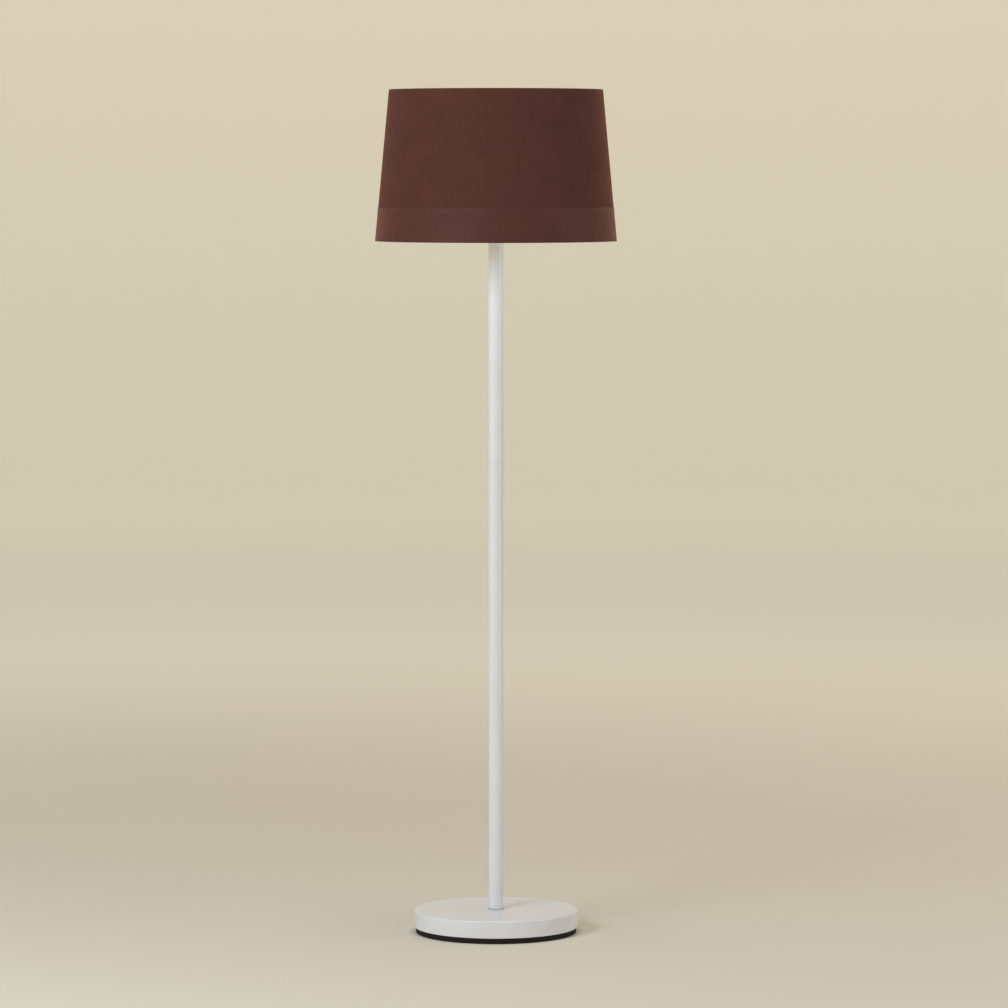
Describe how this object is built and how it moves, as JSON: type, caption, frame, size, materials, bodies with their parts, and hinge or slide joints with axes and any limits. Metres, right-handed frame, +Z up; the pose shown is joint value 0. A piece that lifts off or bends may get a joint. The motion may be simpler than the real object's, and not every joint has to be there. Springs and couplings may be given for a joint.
{
  "type": "floor lamp",
  "caption": "Standing lamp: a straight round pole on a round weighted base, with a tapered drum shade on a harp over an upright bulb.",
  "frame": {"origin": "on the floor, at the centre of the base, under the pole's axis", "axes": "+Z up the pole, -Y to the front, where the switch knob points, +Y to the back, where the cord inlet is, +X to the right seen from the front"},
  "size_m": [0.4064, 0.4064, 1.4224],
  "materials": {
    "white_powder_coat": "satin powder coat",
    "black_rubber": "matt",
    "grey_gasket": "matt",
    "cast_iron": "as cast, dark",
    "zinc_steel": "zinc plated",
    "nickel": "satin nickel plated steel",
    "brass": "bright",
    "phenolic": "moulded, dark",
    "fibre": "vulcanised fibre",
    "lead_black": "insulation",
    "lead_white": "insulation",
    "block_white": "moulded nylon",
    "frosted_glass": "frosted",
    "clear_glass": "clear",
    "bulb_aluminium": "rolled",
    "black_glass": "vitrite",
    "filament": "phosphor coated",
    "shade_cloth": "plain weave",
    "liner_white": "styrene sheet",
    "ring_wire": "white coated wire"
  },
  "bodies": {
    "stand": {"foot_ring": "black_rubber", "base_shell": "white_powder_coat", "base_weight": "cast_iron", "bottom_cover": "zinc_steel", "cover_screws": "zinc_steel", "base_washer": "zinc_steel", "lock_washer": "zinc_steel", "base_nut": "zinc_steel", "base_nipple": "zinc_steel", "cord_bushing": "black_rubber", "connector_block": "block_white", "clamp_screws": "brass", "block_screw": "zinc_steel", "pole_gasket": "grey_gasket", "pole_foot_insert": "zinc_steel", "pole_lower": "white_powder_coat", "coupler_socket": "zinc_steel", "coupler_stud": "zinc_steel", "pole_upper": "white_powder_coat", "pole_top_insert": "zinc_steel", "check_ring": "white_powder_coat", "socket_nipple": "zinc_steel", "harp_saddle": "nickel", "socket_cap": "nickel", "cap_screw": "zinc_steel", "socket_shell": "nickel", "socket_liner": "fibre", "socket_body": "phenolic", "terminal_screws": "brass", "screw_shell": "brass", "centre_contact": "brass", "lead_live": "lead_black", "lead_neutral": "lead_white"},
    "switch": {"switch_shaft": "brass", "switch_knob": "phenolic"},
    "bulb": {"bulb_glass": "frosted_glass", "bulb_cap": "bulb_aluminium", "bulb_insulator": "black_glass", "bulb_contact": "brass", "bulb_stem": "clear_glass", "bulb_filaments": "filament"},
    "harp": {"harp_leg_left": "nickel", "harp_leg_right": "nickel", "harp_end_left": "nickel", "harp_end_right": "nickel", "harp_top_plate": "nickel"},
    "left_ferrule": {"ferrule_left": "nickel"},
    "right_ferrule": {"ferrule_right": "nickel"},
    "shade": {"harp_stud": "nickel", "spider_washer": "ring_wire", "spider_arm_back": "ring_wire", "spider_arm_left": "ring_wire", "spider_arm_right": "ring_wire", "top_ring": "ring_wire", "bottom_ring": "ring_wire", "shade_liner": "liner_white", "shade_cover": "shade_cloth", "hem_band": "shade_cloth"},
    "finial": {"finial": "nickel"}
  },
  "joints": [
    {"name": "switch_turn", "type": "hinge", "parent": "stand", "child": "switch", "pos_m": [0, -0.022, 1.2136], "axis": [0, -1, 0], "continuous": true},
    {"name": "bulb_lift", "type": "slide", "parent": "stand", "child": "bulb", "axis": [0, 0, 1], "range_m": [0, 0.045]},
    {"name": "harp_lift", "type": "slide", "parent": "stand", "child": "harp", "axis": [0, 0, 1], "range_m": [0, 0.2]},
    {"name": "left_ferrule_lift", "type": "slide", "parent": "harp", "child": "left_ferrule", "axis": [0, 0, 1], "range_m": [0, 0.018]},
    {"name": "right_ferrule_lift", "type": "slide", "parent": "harp", "child": "right_ferrule", "axis": [0, 0, 1], "range_m": [0, 0.018]},
    {"name": "shade_swivel", "type": "hinge", "parent": "harp", "child": "shade", "pos_m": [0, 0, 1.3922], "axis": [0, 0, 1], "continuous": true},
    {"name": "finial_turn", "type": "hinge", "parent": "shade", "child": "finial", "pos_m": [0, 0, 1.4], "axis": [0, 0, 1], "continuous": true}
  ]
}
